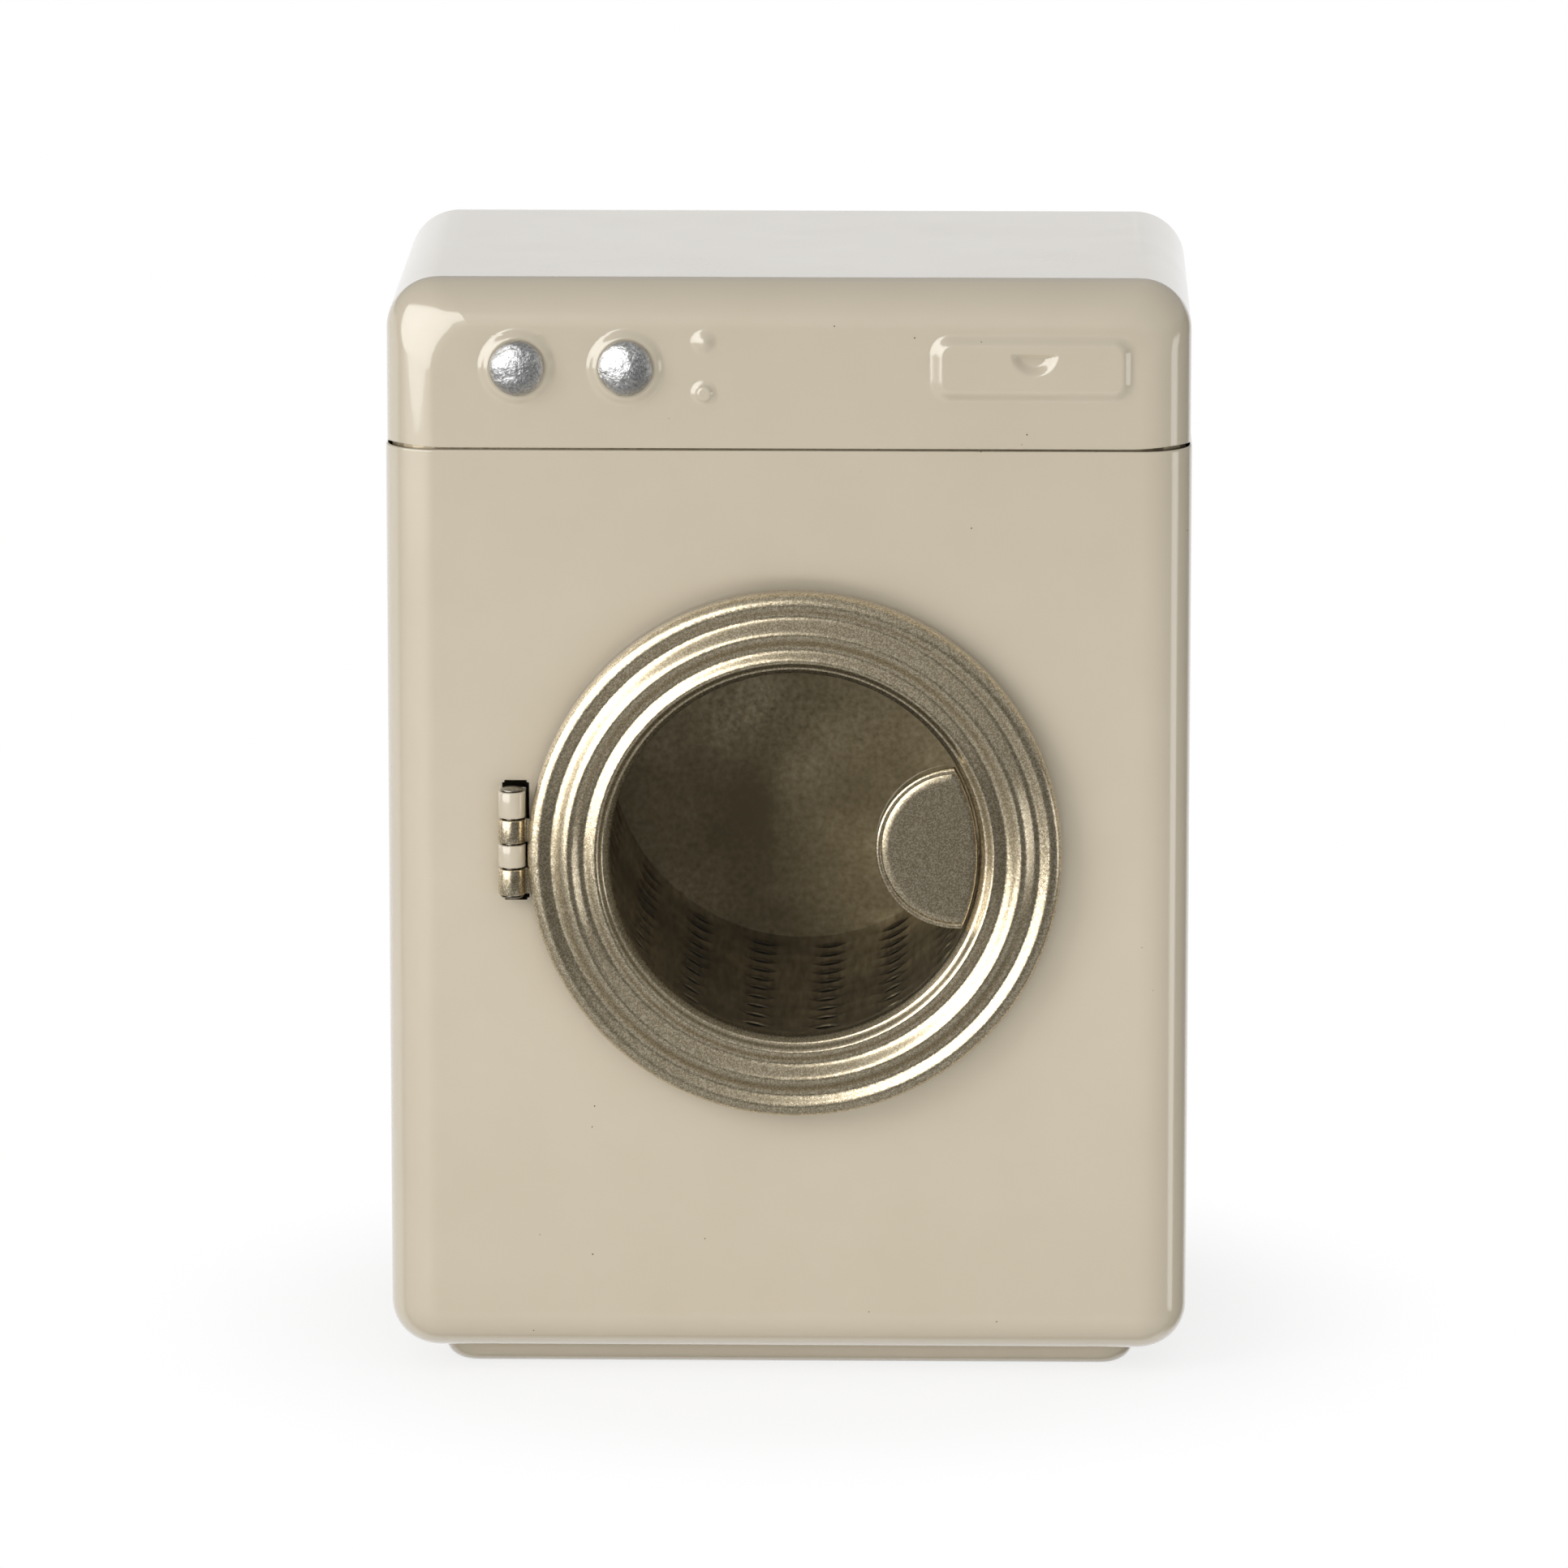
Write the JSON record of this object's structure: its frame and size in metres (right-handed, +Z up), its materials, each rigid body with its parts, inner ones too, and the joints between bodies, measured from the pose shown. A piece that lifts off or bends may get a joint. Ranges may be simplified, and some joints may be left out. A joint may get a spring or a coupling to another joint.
{
  "type": "dollhouse washing machine",
  "caption": "Dollhouse washing machine in glossy cream tinplate, with a champagne-gold porthole door that swings open on a perforated drum, silver dials and a set-in plinth.",
  "frame": {"origin": "centre of the overall footprint, on the surface that the plinth stands on", "axes": "+Z up; the door faces -Y; +X is to the right as the front is looked at"},
  "size_m": [0.088, 0.0644, 0.1222],
  "materials": {
    "cream_enamel": "glossy enamel",
    "champagne_paint": "metallic paint",
    "bare_tinplate": "bare, dull",
    "clear_window": "clear",
    "silver_dial": "hammered, bright",
    "hinge_steel": "satin"
  },
  "bodies": {
    "cabinet": {"body_shell": "cream_enamel", "base_pan": "cream_enamel", "head_shell": "cream_enamel", "neck_band": "bare_tinplate", "drum_shell": "bare_tinplate", "drum_end_cap": "bare_tinplate", "drum_mount_ring": "bare_tinplate", "body_hinge_leaf": "cream_enamel", "hinge_pin": "hinge_steel", "dial_washer_left": "hinge_steel", "dial_washer_right": "hinge_steel"},
    "door": {"door_ring": "champagne_paint", "door_back_ring": "bare_tinplate", "door_window": "clear_window", "door_handle": "champagne_paint", "door_hinge_leaf": "champagne_paint"},
    "left_dial": {"dial_left": "silver_dial"},
    "right_dial": {"dial_right": "silver_dial"}
  },
  "joints": [
    {"name": "door_swing", "type": "hinge", "parent": "cabinet", "child": "door", "pos_m": [-0.03015, -0.0291, 0.0607], "axis": [0, 0, -1], "range_deg": [0, 160]},
    {"name": "left_dial_turn", "type": "hinge", "parent": "cabinet", "child": "left_dial", "pos_m": [-0.0294, -0.0285, 0.1131], "axis": [0, -1, 0], "continuous": true},
    {"name": "right_dial_turn", "type": "hinge", "parent": "cabinet", "child": "right_dial", "pos_m": [-0.0176, -0.0285, 0.1131], "axis": [0, -1, 0], "continuous": true}
  ]
}
